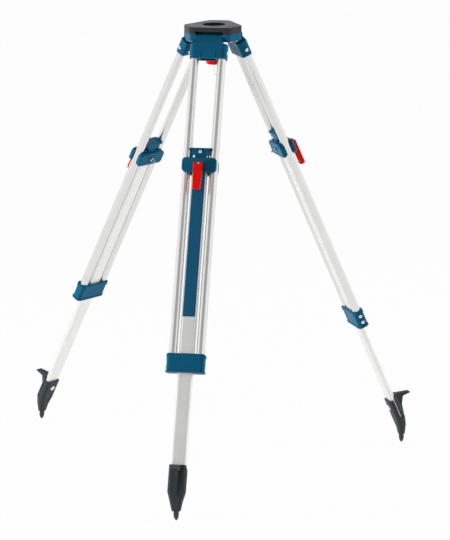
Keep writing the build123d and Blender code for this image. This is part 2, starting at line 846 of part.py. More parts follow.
def point():
    profile = Polygon(
        (0, 0), (point_radius, 0), (point_radius, -point_straight), (point_brow_radius, -point_brow),
        (point_end_radius, -point_length), (0, -point_length), align=None,
    )
    tip = revolve(Plane.XZ * profile, Axis.Z) + rod_z(point_spigot_radius, 0, point_spigot_length)
    return Pos(0, tube_plane, -shoe_top) * point_root() * tip


# Build and write every piece

def save(name, shape):
    export_step(Compound(children=shape) if isinstance(shape, list) else shape, f"parts/{name}.step")


def placed(frame, shape):
    return [frame * solid for solid in shape] if isinstance(shape, list) else frame * shape


os.makedirs("parts", exist_ok=True)

head = {
    "head_plate": head_plate(),
    "head_body": head_body(),
    "plate_screws": plate_screws(),
    "hinge_pins": hinge_pins(),
    "swing_arm": swing_arm(),
    "arm_stud": arm_stud(),
    "slot_block": slot_block(),
    "screw_sleeve": screw_sleeve(),
    "fixing_screw": fixing_screw(),
    "knob": knob(),
    "plumb_hook": plumb_hook(),
}
frame_pieces = {
    "hinge_bracket": hinge_bracket(),
    "tube_1": outer_tube(-1),
    "tube_2": outer_tube(1),
    "collar": collar(),
    "frame_screws": frame_screws(),
}
slider_pieces = {
    "inner_leg": inner_leg(),
    "guide_block": guide_block(),
    "inner_jaw": clamp_inner_jaw(),
    "outer_jaw": clamp_outer_jaw(),
    "clamp_bolt": clamp_bolt(),
    "clamp_nut": clamp_nut(),
    "shoe": shoe(),
    "point": point(),
    "slider_screws": slider_screws(),
}
lever_pieces = {"lever": lever(), "lever_pin": lever_pin()}

for name, shape in head.items():
    save(name, shape)
for leg in leg_azimuth:
    for name, shape in frame_pieces.items():
        save(f"{leg}_{name}", placed(leg_frame(leg), shape))
    for name, shape in slider_pieces.items():
        save(f"{leg}_{name}", placed(slider_frame(leg), shape))
    for name, shape in lever_pieces.items():
        save(f"{leg}_{name}", placed(lever_frame(leg), shape))
save("front_label", placed(slider_frame("front"), label()))
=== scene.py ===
# %% [markdown]
# A construction tripod, dressed around its CAD frame.
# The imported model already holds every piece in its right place, in metres. This lesson adds what the
# solids leave out: the cut of the screw threads, the cross in each screw head, the finish of every
# surface, the light and the camera. The frame comes first, because every later piece is set on it.

# %% Load the frame
import json
from math import cos, pi, radians, sin, tau

import bpy
from mathutils import Matrix, Vector


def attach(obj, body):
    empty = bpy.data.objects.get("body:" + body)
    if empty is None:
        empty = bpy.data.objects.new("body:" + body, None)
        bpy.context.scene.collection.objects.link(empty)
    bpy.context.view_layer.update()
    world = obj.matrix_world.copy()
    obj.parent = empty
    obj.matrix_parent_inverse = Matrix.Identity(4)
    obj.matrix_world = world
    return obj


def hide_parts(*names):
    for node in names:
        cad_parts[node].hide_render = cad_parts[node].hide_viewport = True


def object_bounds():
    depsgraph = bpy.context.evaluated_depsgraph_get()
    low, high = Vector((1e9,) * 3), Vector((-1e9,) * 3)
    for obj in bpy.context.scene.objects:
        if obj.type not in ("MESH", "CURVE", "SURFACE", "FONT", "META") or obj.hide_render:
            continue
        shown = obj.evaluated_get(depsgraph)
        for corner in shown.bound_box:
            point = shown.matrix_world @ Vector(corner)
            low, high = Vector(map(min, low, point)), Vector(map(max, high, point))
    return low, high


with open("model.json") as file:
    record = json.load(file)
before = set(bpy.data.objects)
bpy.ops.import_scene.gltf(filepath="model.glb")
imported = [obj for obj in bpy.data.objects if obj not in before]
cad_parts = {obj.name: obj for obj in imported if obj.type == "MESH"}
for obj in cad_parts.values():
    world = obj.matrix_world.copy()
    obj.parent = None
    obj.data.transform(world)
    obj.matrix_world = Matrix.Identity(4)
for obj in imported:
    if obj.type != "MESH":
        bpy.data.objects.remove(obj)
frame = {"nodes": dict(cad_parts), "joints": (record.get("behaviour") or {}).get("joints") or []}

cad_low, cad_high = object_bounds()
nodes = frame["nodes"]
joints = {joint["name"]: joint for joint in frame["joints"]}
LEGS = ("front", "right", "left")
MM = 0.001
print("height", round(cad_high.z - cad_low.z, 3), "m")

# %% [markdown]
# Each leg leans its own way, so what is set on a leg is drawn upright first and then turned into place.
# The joints of the frame already say where each hinge is, which way the leg runs and which way is
# outward. Reading them is safer than repeating angles, because a later change of stance comes along.

# %% Where each leg is


def leg_matrix(leg):
    """X along the hinge, Y outward, Z up the leg, with the origin on the hinge axis."""
    hinge = joints[f"{leg}_leg_spread"]
    up = -Vector(joints[f"{leg}_leg_extension"]["axis"])
    outward = Vector(joints[f"{leg}_jaw_release"]["axis"])
    turn = Matrix((Vector(hinge["axis"]), outward, up)).transposed()
    return Matrix.Translation(hinge["pos_m"]) @ turn.to_4x4()


def slider_matrix(leg):
    """The same, but pushed out by as much as the leg is pulled out at rest."""
    drawn_out = -joints[f"{leg}_leg_extension"]["range_m"][0]
    return leg_matrix(leg) @ Matrix.Translation((0, 0, -drawn_out))


for leg in LEGS:
    print(leg, "hinge at", [round(x, 4) for x in leg_matrix(leg).translation])

# %% [markdown]
# A few helpers keep the modelling short. An operator acts on everything that is selected, so each new
# piece starts from an empty selection. Faces are picked in code, in Object Mode, where their select flags
# can be written, and the operator then runs in Edit Mode.

# %% Helpers for modelling


def clear_selection():
    if bpy.context.object and bpy.context.object.mode != "OBJECT":
        bpy.ops.object.mode_set(mode="OBJECT")
    bpy.ops.object.select_all(action="DESELECT")


def activate(obj):
    clear_selection()
    obj.select_set(True)
    bpy.context.view_layer.objects.active = obj


def pick_faces(obj, wanted):
    bpy.ops.object.mode_set(mode="OBJECT")
    mesh = obj.data
    for part in (mesh.vertices, mesh.edges, mesh.polygons):
        part.foreach_set("select", [False] * len(part))
    for face in mesh.polygons:
        face.select = wanted(face)
    bpy.ops.object.mode_set(mode="EDIT")
    bpy.ops.mesh.select_mode(type="FACE")


def apply_modifier(obj, kind, **settings):
    activate(obj)
    modifier = obj.modifiers.new(kind.lower(), kind)
    for key, value in settings.items():
        setattr(modifier, key, value)
    bpy.ops.object.modifier_apply(modifier=modifier.name)


def drawn_line(name, points):
    """A chain of edges, made as by hand: one point, then one extrusion for each further point."""
    clear_selection()
    bpy.ops.mesh.primitive_plane_add(size=MM, location=(0, 0, 0))
    line = bpy.context.object
    line.name = name
    bpy.ops.object.mode_set(mode="EDIT")
    bpy.ops.mesh.select_mode(type="VERT")
    bpy.ops.mesh.select_all(action="SELECT")
    bpy.ops.mesh.merge(type="CENTER")
    bpy.ops.transform.translate(value=points[0])
    for before, after in zip(points, points[1:]):
        bpy.ops.mesh.extrude_region_move(TRANSFORM_OT_translate={"value": Vector(after) - Vector(before)})
    bpy.ops.object.mode_set(mode="OBJECT")
    return line


def turned(name, points, steps):
    """A lathe: the line is spun round Z, its seam and poles are closed, and its faces point outward."""
    shape = drawn_line(name, points)
    bpy.ops.object.mode_set(mode="EDIT")
    bpy.ops.mesh.select_all(action="SELECT")
    bpy.ops.mesh.spin(steps=steps, angle=tau, center=(0, 0, 0), axis=(0, 0, 1))
    bpy.ops.mesh.select_all(action="SELECT")
    bpy.ops.mesh.remove_doubles(threshold=MM / 100)
    bpy.ops.mesh.normals_make_consistent(inside=False)
    bpy.ops.object.mode_set(mode="OBJECT")
    return shape


def join(name, pieces):
    clear_selection()
    for piece in pieces:
        piece.select_set(True)
    bpy.context.view_layer.objects.active = pieces[0]
    if len(pieces) > 1:
        bpy.ops.object.join()
    pieces[0].name = name
    return pieces[0]


def placed_copies(name, original, places):
    """Copies with a mesh of their own, each moved into place, then joined into one piece."""
    copies = []
    for place in places:
        copy = original.copy()
        copy.data = original.data.copy()
        bpy.context.scene.collection.objects.link(copy)
        copy.data.transform(place)
        copies.append(copy)
    return join(name, copies)


def smooth(obj, degrees):
    activate(obj)
    bpy.ops.object.shade_smooth_by_angle(angle=radians(degrees))


print("helpers ready")

# %% [markdown]
# The screws are pan heads with a cross in them. In the solids each one is a rounded disc with a round
# dimple, which is enough for a CAD model but reads as a rivet up close. The head is turned on a lathe
# from half of its outline, and the cross is cut by a Boolean with two crossed bars. One head is modelled
# for each size and then copied to all its places.

# %% One pan head with a cross
SEAT_DEPTH = 0.25
SEAT_WIDTH = 0.62
RIM_HEIGHT = 0.3
DOME_STEPS = 6
CROSS_LENGTH = 0.98
CROSS_WIDTH = 0.2
CROSS_DEPTH = 0.9
CROSS_TAPER = 0.55


def pan_head(name, radius, height):
    """The shares above are of the head's radius across, and of its height along the axis."""
    seat = -height * SEAT_DEPTH
    rim = height * RIM_HEIGHT
    outline = [(0, 0, seat), (radius * SEAT_WIDTH, 0, seat), (radius, 0, 0), (radius, 0, rim)]
    for step in range(1, DOME_STEPS):
        lean = step / DOME_STEPS * pi / 2
        outline.append((radius * cos(lean), 0, rim + (height - rim) * sin(lean)))
    outline.append((0, 0, height))
    head = turned(name, outline, steps=28)
    for turn in (0, pi / 2):
        clear_selection()
        bpy.ops.mesh.primitive_cube_add(size=1, location=(0, 0, height), rotation=(0, 0, turn))
        bar = bpy.context.object
        bar.scale = (radius * CROSS_LENGTH, radius * CROSS_WIDTH, height * CROSS_DEPTH)
        bpy.ops.object.transform_apply(location=True, rotation=True, scale=True)
        pick_faces(bar, lambda face: face.normal.z < -0.9)
        bpy.ops.transform.resize(value=(CROSS_TAPER, CROSS_TAPER, 1.0))
        bpy.ops.object.mode_set(mode="OBJECT")
        apply_modifier(head, "BOOLEAN", operation="DIFFERENCE", object=bar, solver="EXACT")
        bpy.data.objects.remove(bar)
    smooth(head, degrees=32)
    return head


SCREW_RADIUS = 4.8 * MM
SCREW_HEIGHT = 4.0 * MM
SHOE_SCREW_RADIUS = 7.5 * MM
PLATE_SCREW_RADIUS = 5.0 * MM
PLATE_SCREW_HEIGHT = 3.0 * MM
small_head = pan_head("small_head", SCREW_RADIUS, SCREW_HEIGHT)
shoe_head = pan_head("shoe_head", SHOE_SCREW_RADIUS, SCREW_HEIGHT)
plate_head = pan_head("plate_head", PLATE_SCREW_RADIUS, PLATE_SCREW_HEIGHT)
print("screw heads:", [len(h.data.polygons) for h in (small_head, shoe_head, plate_head)], "faces")

# %% [markdown]
# Each upper frame has one screw on either side of its hinge bracket, and two on one side of its collar.
# They stand on the side faces, so a head that was turned upright is laid on its side. Each cross points
# its own way, as on screws that were driven by hand.

# %% Screws of the upper frames
TUBE_PLANE = 4.5 * MM
BRACKET_SIDE = 48.8 * MM
BRACKET_SCREW_Z = -41.75 * MM
COLLAR_SIDE = 49.6 * MM
COLLAR_SCREW_Z = (-844.5 * MM, -862.5 * MM)
FIRST_CROSS_TURN = 0.5
NEXT_CROSS_TURN = 1.1


def frame_screw_places(leg):
    spots = [(side, BRACKET_SIDE, BRACKET_SCREW_Z) for side in (-1, 1)]
    spots += [(1, COLLAR_SIDE, z) for z in COLLAR_SCREW_Z]
    places = []
    for number, (side, reach, z) in enumerate(spots):
        cross_turn = FIRST_CROSS_TURN + NEXT_CROSS_TURN * number
        lay = Matrix.Rotation(side * pi / 2, 4, "Y") @ Matrix.Rotation(cross_turn, 4, "Z")
        places.append(leg_matrix(leg) @ Matrix.Translation((side * reach, TUBE_PLANE, z)) @ lay)
    return places


frame_screws = {}
for leg in LEGS:
    screws = placed_copies(f"{leg}_frame_screw_heads", small_head, frame_screw_places(leg))
    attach(screws, f"{leg}_frame")
    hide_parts(f"{leg}_frame_screws")
    frame_screws[leg] = screws
print("frame screws:", sorted(frame_screws))

# %% [markdown]
# Two more screws hold each sliding leg: a small one through the face of the guide block, and a large
# one through the back of the shoe. They ride with the sliding leg and not with the frame.

# %% Screws of the sliding legs
GUIDE_SCREW = Vector((0, 15.5 * MM, -74 * MM))
SHOE_SCREW = Vector((0, -8.3 * MM, -912 * MM))

slider_screws = {}
for leg in LEGS:
    guide_place = slider_matrix(leg) @ Matrix.Translation(GUIDE_SCREW) @ Matrix.Rotation(-pi / 2, 4, "X")
    shoe_place = slider_matrix(leg) @ Matrix.Translation(SHOE_SCREW) @ Matrix.Rotation(pi / 2, 4, "X")
    guide_screw = placed_copies(f"{leg}_guide_screw", small_head, [guide_place])
    shoe_screw = placed_copies(f"{leg}_shoe_screw", shoe_head, [shoe_place])
    screws = join(f"{leg}_slider_screw_heads", [guide_screw, shoe_screw])
    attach(screws, f"{leg}_slider")
    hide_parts(f"{leg}_slider_screws")
    slider_screws[leg] = screws
print("slider screws:", sorted(slider_screws))

# %% [markdown]
# The head plate is screwed on from below, two screws at each of its three outer corners. The corners lie
# halfway between the legs.

# %% Screws under the head
PLATE_SCREW_REACH = 67.5 * MM
PLATE_SCREW_SPREAD = 10 * MM
PLATE_CROSS_TURN = 0.7
BETWEEN_LEGS = radians(60)
BODY_BOTTOM = -38 * MM

plate_places = []
for leg in LEGS:
    hinge = leg_matrix(leg).translation
    along = Vector((hinge.x, hinge.y, 0)).normalized()
    corner = Matrix.Rotation(BETWEEN_LEGS, 4, "Z") @ along
    across = Vector((-corner.y, corner.x, 0))
    for side in (-1, 1):
        spot = corner * PLATE_SCREW_REACH + across * side * PLATE_SCREW_SPREAD
        spot.z = BODY_BOTTOM
        lay = Matrix.Rotation(pi, 4, "X") @ Matrix.Rotation(side * PLATE_CROSS_TURN, 4, "Z")
        plate_places.append(Matrix.Translation(spot) @ lay)
plate_screws = placed_copies("plate_screw_heads", plate_head, plate_places)
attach(plate_screws, "head")
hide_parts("plate_screws")
for spare in (small_head, shoe_head, plate_head):
    bpy.data.objects.remove(spare)
print("plate screws:", len(plate_places))

# %% [markdown]
# The fixing screw carries the standard 5/8 in thread with 11 turns to the inch. It is seen from above,
# through the hole of the head. A tooth is drawn once as a line and wound up with a Screw modifier, a
# little longer than needed, and both ends are then cut flat. It starts an odd part of a turn early, so
# that neither cut runs through a corner point of the thread, and the cut's threshold is far below the
# size of a tooth. A plain shank runs on below, through the sleeve and into the knob.

# %% The fixing screw with its thread
INCH = 25.4 * MM
PITCH = INCH / 11
THREAD_TOP = -6.0 * MM
THREAD_BOTTOM = -33.1 * MM
THREAD_DEPTH = 0.6134
CREST = INCH * 5 / 16
ROOT = CREST - THREAD_DEPTH * PITCH
SHANK_RADIUS = 6.0 * MM
SHANK_END = -93.9 * MM
TOP_CHAMFER = 1.4 * MM
NOSE_LOW = THREAD_BOTTOM - PITCH
NOSE_HIGH = THREAD_TOP + MM / 100
LEAD_IN = 1.77
SPARE_TURNS = 5
WELD = MM / 200
CUT_THRESHOLD = MM / 10000


def thread_rod(name, crest, root, pitch, low, high, steps):
    turns = int((high - low) / pitch) + SPARE_TURNS
    start = low - LEAD_IN * pitch
    form = ((root, 0.0), (root, 0.14), (crest, 0.45), (crest, 0.55), (root, 0.86), (root, 1.0))
    tooth = drawn_line(name, [(radius, 0, start + share * pitch) for radius, share in form])
    apply_modifier(
        tooth, "SCREW", axis="Z", angle=tau, screw_offset=pitch, steps=steps, render_steps=steps,
        iterations=turns, use_merge_vertices=True, merge_threshold=WELD,
    )
    bpy.ops.object.mode_set(mode="EDIT")
    for z, upward in ((low, -1), (high, 1)):
        bpy.ops.mesh.select_all(action="SELECT")
        bpy.ops.mesh.remove_doubles(threshold=WELD)
        bpy.ops.mesh.select_all(action="SELECT")
        bpy.ops.mesh.bisect(
            plane_co=(0, 0, z), plane_no=(0, 0, upward),
            clear_outer=True, use_fill=True, threshold=CUT_THRESHOLD,
        )
    bpy.ops.mesh.select_all(action="SELECT")
    bpy.ops.mesh.normals_make_consistent(inside=False)
    bpy.ops.object.mode_set(mode="OBJECT")
    return tooth


thread = thread_rod("thread", CREST, ROOT, PITCH, THREAD_BOTTOM, THREAD_TOP, steps=40)
nose = turned(
    "nose",
    [
        (0, 0, NOSE_LOW), (CREST + PITCH, 0, NOSE_LOW),
        (CREST + PITCH, 0, THREAD_TOP - TOP_CHAMFER - PITCH),
        (CREST - TOP_CHAMFER, 0, NOSE_HIGH), (0, 0, NOSE_HIGH),
    ],
    steps=48,
)
apply_modifier(thread, "BOOLEAN", operation="INTERSECT", object=nose, solver="EXACT")
bpy.data.objects.remove(nose)
smooth(thread, degrees=25)
shank = turned(
    "shank",
    [
        (0, 0, SHANK_END), (SHANK_RADIUS - MM, 0, SHANK_END), (SHANK_RADIUS, 0, SHANK_END + MM),
        (SHANK_RADIUS, 0, THREAD_BOTTOM), (0, 0, THREAD_BOTTOM),
    ],
    steps=40,
)
smooth(shank, degrees=30)
fixing_screw = join("fixing_screw_threaded", [thread, shank])
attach(fixing_screw, "fixing_screw")
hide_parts("fixing_screw")
print("fixing screw:", len(fixing_screw.data.polygons), "faces")

# %% [markdown]
# Each cam clamp pulls on a bolt with an eye at the lever's end and a thread at the other, which stands
# out behind the nut. The thread comes from the same tool as the large screw, the eye is turned like a
# washer and laid across, and Booleans fuse them to the plain shank. A thin neck carries the shank into
# the thread, so that no two faces lie in one another. One bolt is modelled upright and copied to all
# three clamps.

# %% Clamp bolts
BOLT_RADIUS = 2.5 * MM
BOLT_PITCH = 0.8 * MM
BOLT_ROOT = BOLT_RADIUS - THREAD_DEPTH * BOLT_PITCH
BOLT_NECK = BOLT_ROOT - 0.3 * MM
BOLT_END = -30.2 * MM
BOLT_THREAD_TOP = -11.0 * MM
EYE_CENTRE = 31.9 * MM
EYE_RADIUS = 4.5 * MM
EYE_BORE = 2.05 * MM
EYE_HALF = 2.8 * MM
EYE_CHAMFER = 0.5 * MM
NECK_START = BOLT_THREAD_TOP - BOLT_PITCH
NECK_END = BOLT_THREAD_TOP + MM / 50
ROD_END = EYE_CENTRE - EYE_BORE - MM
CLAMP_DEPTH = 109 * MM

bolt = thread_rod("bolt", BOLT_RADIUS, BOLT_ROOT, BOLT_PITCH, BOLT_END, BOLT_THREAD_TOP, steps=24)
rod = turned(
    "rod",
    [
        (0, 0, NECK_START), (BOLT_NECK, 0, NECK_START), (BOLT_NECK, 0, NECK_END),
        (BOLT_RADIUS, 0, NECK_END), (BOLT_RADIUS, 0, ROD_END), (0, 0, ROD_END),
    ],
    steps=24,
)
eye = turned(
    "eye",
    [
        (EYE_BORE, 0, -EYE_HALF), (EYE_RADIUS - EYE_CHAMFER, 0, -EYE_HALF),
        (EYE_RADIUS, 0, EYE_CHAMFER - EYE_HALF), (EYE_RADIUS, 0, EYE_HALF - EYE_CHAMFER),
        (EYE_RADIUS - EYE_CHAMFER, 0, EYE_HALF), (EYE_BORE, 0, EYE_HALF), (EYE_BORE, 0, -EYE_HALF),
    ],
    steps=32,
)
eye.data.transform(Matrix.Translation((0, 0, EYE_CENTRE)) @ Matrix.Rotation(pi / 2, 4, "Y"))
for piece in (rod, eye):
    apply_modifier(bolt, "BOOLEAN", operation="UNION", object=piece, solver="EXACT")
    bpy.data.objects.remove(piece)
smooth(bolt, degrees=28)
clamp_bolts = {}
clamp_place = Matrix.Translation((0, 0, -CLAMP_DEPTH)) @ Matrix.Rotation(-pi / 2, 4, "X")
for leg in LEGS:
    place = slider_matrix(leg) @ clamp_place
    threaded = placed_copies(f"{leg}_clamp_bolt_threaded", bolt, [place])
    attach(threaded, f"{leg}_slider")
    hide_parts(f"{leg}_clamp_bolt")
    clamp_bolts[leg] = threaded
print("clamp bolts:", len(bolt.data.polygons), "faces each")
bpy.data.objects.remove(bolt)

# %% [markdown]
# Now the finishes. Colours are written as they look on a screen and turned into the linear values that
# the shader mixes. A moulded part is never one flat colour: the tool leaves a fine spark-eroded grain,
# handling leaves faint cloudy patches of shine, and the edges are painted paler, partly as wear where
# they get knocked and partly as a painted highlight along them. All three are shared by several finishes,
# so each is a node group that puts out plain values, and every material chooses its own strength. The
# edge group compares the true surface with one whose edges are rounded off: where the two disagree there
# is an edge, and the rounded one makes sharp corners catch the light.

# %% Colour helper and shared node groups


def linear(code):
    channels = [int(code[i:i + 2], 16) / 255 for i in (0, 2, 4)]
    return tuple(c / 12.92 if c <= 0.04045 else ((c + 0.055) / 1.055) ** 2.4 for c in channels) + (1.0,)


def new_group(name, outputs):
    """A group that is given a place and puts out the named values."""
    tree = bpy.data.node_groups.new(name, "ShaderNodeTree")
    tree.interface.new_socket("Vector", in_out="INPUT", socket_type="NodeSocketVector")
    for title, kind in outputs:
        tree.interface.new_socket(title, in_out="OUTPUT", socket_type=kind)
    return tree, tree.nodes.new("NodeGroupInput"), tree.nodes.new("NodeGroupOutput")


def noise(tree, vector, scale, detail, roughness=0.55):
    node = tree.nodes.new("ShaderNodeTexNoise")
    node.inputs["Scale"].default_value = scale
    node.inputs["Detail"].default_value = detail
    node.inputs["Roughness"].default_value = roughness
    tree.links.new(vector, node.inputs["Vector"])
    return node.outputs["Fac"]


def map_range(tree, value, low, high, to_low, to_high):
    node = tree.nodes.new("ShaderNodeMapRange")
    for title, number in (("From Min", low), ("From Max", high), ("To Min", to_low), ("To Max", to_high)):
        node.inputs[title].default_value = number
    tree.links.new(value, node.inputs["Value"])
    return node.outputs["Result"]


def calculate(tree, kind, operation, first, second):
    """A Math or Vector Math node. An output is linked in, and anything else is written on the socket."""
    node = tree.nodes.new(f"ShaderNode{kind}")
    node.operation = operation
    for socket, source in zip(node.inputs, (first, second)):
        if isinstance(source, bpy.types.NodeSocket):
            tree.links.new(source, socket)
        else:
            socket.default_value = source
    return node.outputs["Value" if operation == "DOT_PRODUCT" else 0]


EDGE_RADIUS = 0.7 * MM
EDGE_SAMPLES = 6
GRAIN_SCALE = 1500.0
FLECK_SCALE = 420.0
CLOUD_SCALE = 26.0
SCUFF_SCALE = 190.0
CHIP_SCALE = 240.0

grain_group, grain_in, grain_out = new_group(
    "spark_grain", [("Height", "NodeSocketFloat"), ("Fleck", "NodeSocketFloat")]
)
fine = noise(grain_group, grain_in.outputs["Vector"], GRAIN_SCALE, detail=2.0)
grain_group.links.new(fine, grain_out.inputs["Height"])
fleck = noise(grain_group, grain_in.outputs["Vector"], FLECK_SCALE, detail=3.0)
grain_group.links.new(map_range(grain_group, fleck, 0.35, 0.65, 0.0, 1.0), grain_out.inputs["Fleck"])

cloud_group, cloud_in, cloud_out = new_group(
    "handling_clouds", [("Cloud", "NodeSocketFloat"), ("Scuff", "NodeSocketFloat")]
)
cloud = noise(cloud_group, cloud_in.outputs["Vector"], CLOUD_SCALE, detail=4.0)
cloud_group.links.new(map_range(cloud_group, cloud, 0.3, 0.7, 0.0, 1.0), cloud_out.inputs["Cloud"])
scuff = noise(cloud_group, cloud_in.outputs["Vector"], SCUFF_SCALE, detail=6.0, roughness=0.7)
cloud_group.links.new(map_range(cloud_group, scuff, 0.6, 0.74, 0.0, 1.0), cloud_out.inputs["Scuff"])

# Pale edges: partly wear where edges get knocked, partly a painted highlight along every edge.
edge_group, edge_in, edge_out = new_group(
    "edges_wear_and_painted_highlight", [("Edge", "NodeSocketFloat"), ("Normal", "NodeSocketVector")]
)
rounded = edge_group.nodes.new("ShaderNodeBevel")
rounded.samples = EDGE_SAMPLES
rounded.inputs["Radius"].default_value = EDGE_RADIUS
surface = edge_group.nodes.new("ShaderNodeNewGeometry")
normals = rounded.outputs["Normal"], surface.outputs["Normal"]
agree = calculate(edge_group, "VectorMath", "DOT_PRODUCT", *normals)
edge = map_range(edge_group, agree, 0.99, 0.80, 0.0, 1.0)
patches = noise(edge_group, edge_in.outputs["Vector"], CHIP_SCALE, detail=4.0)
broken = map_range(edge_group, patches, 0.40, 0.62, 0.25, 1.0)
# The mask of pale edges, broken into patches: wear in part, painted highlight in part.
edge_wear_and_highlight_mask = calculate(edge_group, "Math", "MULTIPLY", edge, broken)
edge_group.links.new(edge_wear_and_highlight_mask, edge_out.inputs["Edge"])
edge_group.links.new(rounded.outputs["Normal"], edge_out.inputs["Normal"])
print("node groups:", [g.name for g in (grain_group, cloud_group, edge_group)])

# %% [markdown]
# Every material starts the same way: a Principled shader that reads Object coordinates. The place of a
# piece is in its mesh, so those coordinates are metres on the tripod itself and a pattern stays put when
# the piece moves. A moulding has its own colour, that of its flecks and that of its pale edges, which are
# partly wear and partly a painted highlight, a range of roughness, a depth of grain and a share of
# mirror.

# %% Materials, and the plastics
FLECK_SHARE = 0.35
EDGE_SHARE = 0.5
GRAIN_HEIGHT = MM / 10


def new_material(name):
    material = bpy.data.materials.new(name)
    material.use_nodes = True
    tree = material.node_tree
    shader = tree.nodes["Principled BSDF"]
    coordinates = tree.nodes.new("ShaderNodeTexCoord").outputs["Object"]
    return material, tree, shader, coordinates


def mixed(tree, kind, factor, first, second):
    """A Mix node for RGBA or FLOAT. Its sockets A and B exist once for each kind, under one name."""
    node = tree.nodes.new("ShaderNodeMix")
    node.data_type = kind
    socket_type = {"RGBA": "RGBA", "FLOAT": "VALUE"}[kind]
    tree.links.new(factor, node.inputs["Factor"])
    for title, source in (("A", first), ("B", second)):
        socket = next(s for s in node.inputs if s.name == title and s.type == socket_type)
        if isinstance(source, bpy.types.NodeSocket):
            tree.links.new(source, socket)
        else:
            socket.default_value = source
    return next(s for s in node.outputs if s.type == socket_type)


def bump(tree, shader, height, strength, distance, normal=None):
    node = tree.nodes.new("ShaderNodeBump")
    node.inputs["Strength"].default_value = strength
    node.inputs["Distance"].default_value = distance
    tree.links.new(height, node.inputs["Height"])
    if normal:
        tree.links.new(normal, node.inputs["Normal"])
    tree.links.new(node.outputs["Normal"], shader.inputs["Normal"])


def use_group(tree, group, vector):
    node = tree.nodes.new("ShaderNodeGroup")
    node.node_tree = group
    tree.links.new(vector, node.inputs["Vector"])
    return node.outputs


def moulded(name, colours, roughness, grain, mirror):
    plain, flecked, pale_edge_wear_and_highlight = (linear(code) for code in colours)
    material, tree, shader, coordinates = new_material(name)
    shader.inputs["Specular IOR Level"].default_value = mirror
    grains = use_group(tree, grain_group, coordinates)
    clouds = use_group(tree, cloud_group, coordinates)
    edges = use_group(tree, edge_group, coordinates)
    fleck_share = map_range(tree, grains["Fleck"], 0.0, 1.0, 0.0, FLECK_SHARE)
    tinted = mixed(tree, "RGBA", fleck_share, plain, flecked)
    # Edges take the paler colour, which is partly wear and partly a painted highlight.
    edge_share = map_range(tree, edges["Edge"], 0.0, 1.0, 0.0, EDGE_SHARE)
    base_with_wear_and_highlight = mixed(tree, "RGBA", edge_share, tinted, pale_edge_wear_and_highlight)
    tree.links.new(base_with_wear_and_highlight, shader.inputs["Base Color"])
    shine = map_range(tree, clouds["Cloud"], 0.0, 1.0, *roughness)
    tree.links.new(shine, shader.inputs["Roughness"])
    bump(tree, shader, grains["Height"], grain, GRAIN_HEIGHT, edges["Normal"])
    return material


# The third colour of each moulding is its pale edge: partly wear, partly a painted highlight.
petrol_blue = moulded(
    "petrol_blue_moulding", ("034E6C", "0A5A78", "5F9CBA"),
    roughness=(0.34, 0.46), grain=0.22, mirror=0.10,
)
# The pale pink edge colour paints highlights along the red edges, on top of wear.
signal_red = moulded(
    "signal_red_moulding", ("CB0A01", "D3140A", "F2A094"),
    roughness=(0.28, 0.40), grain=0.16, mirror=0.10,
)
head_charcoal = moulded(
    "head_charcoal_casting", ("1C1D22", "25262C", "54545C"),
    roughness=(0.40, 0.52), grain=0.35, mirror=0.36,
)
foot_charcoal = moulded(
    "foot_charcoal_moulding", ("2A3033", "353C3F", "5B6164"),
    roughness=(0.48, 0.62), grain=0.45, mirror=0.25,
)
label_film = moulded(
    "blue_label_film", ("034A6A", "075273", "4C8DB0"),
    roughness=(0.16, 0.26), grain=0.05, mirror=0.25,
)
print("plastics:", [m.name for m in (petrol_blue, signal_red, head_charcoal, foot_charcoal, label_film)])

# %% [markdown]
# The outer tubes are drawn aluminium with a bright anodised skin, and the flat inner legs have a duller
# one. Drawing leaves fine lines that run along the tube and nowhere else, so a noise is squeezed hard
# along the leg. Each leg leans its own way, and a Mapping node turns the pattern to its axis, which makes
# two materials for each leg.

# %% Drawn aluminium, two for each leg
BRIGHT = ("E6E6E4", "D6D6D4")
SATIN = ("F3F3F1", "E0E0DE")
LINE_SCALE = 1400.0
LINE_SQUEEZE = 0.008
LINE_SHARE = 0.25
LINE_BUMP = 0.008
LINE_HEIGHT = MM / 50
PATCH_SHARE = 0.30


def drawn_aluminium(leg, kind, colours, roughness, metallic):
    clean, dull = (linear(code) for code in colours)
    material, tree, shader, coordinates = new_material(f"{leg}_{kind}_aluminium")
    turn = tree.nodes.new("ShaderNodeMapping")
    turn.vector_type = "POINT"
    turn.inputs["Rotation"].default_value = leg_matrix(leg).to_3x3().transposed().to_euler()
    tree.links.new(coordinates, turn.inputs["Vector"])
    squeeze = tree.nodes.new("ShaderNodeMapping")
    squeeze.inputs["Scale"].default_value = (1.0, 1.0, LINE_SQUEEZE)
    tree.links.new(turn.outputs["Vector"], squeeze.inputs["Vector"])
    lines = noise(tree, squeeze.outputs["Vector"], LINE_SCALE, detail=3.0, roughness=0.65)
    clouds = use_group(tree, cloud_group, coordinates)
    patch_share = map_range(tree, clouds["Cloud"], 0.0, 1.0, 0.0, PATCH_SHARE)
    patchy = mixed(tree, "RGBA", patch_share, clean, dull)
    line_share = map_range(tree, lines, 0.35, 0.70, 0.0, LINE_SHARE)
    lined = mixed(tree, "RGBA", line_share, patchy, dull)
    tree.links.new(lined, shader.inputs["Base Color"])
    shader.inputs["Metallic"].default_value = metallic
    tree.links.new(map_range(tree, lines, 0.3, 0.7, *roughness), shader.inputs["Roughness"])
    bump(tree, shader, lines, LINE_BUMP, LINE_HEIGHT)
    return material


bright_tube = {
    leg: drawn_aluminium(leg, "bright", BRIGHT, roughness=(0.22, 0.27), metallic=1.0) for leg in LEGS
}
satin_leg = {
    leg: drawn_aluminium(leg, "satin", SATIN, roughness=(0.44, 0.52), metallic=0.85) for leg in LEGS
}
print("aluminium:", [m.name for m in (*bright_tube.values(), *satin_leg.values())])

# %% [markdown]
# Three steels are left: the bright chrome of screws, nuts and lever pins, the duller zinc of the clamp
# bolts and the pieces under the head, and the blackened points. Zinc has faint blotches, and chrome only
# a breath of haze.

# %% Steels
SCUFF_BUMP = 0.04
SCUFF_HEIGHT = MM / 20


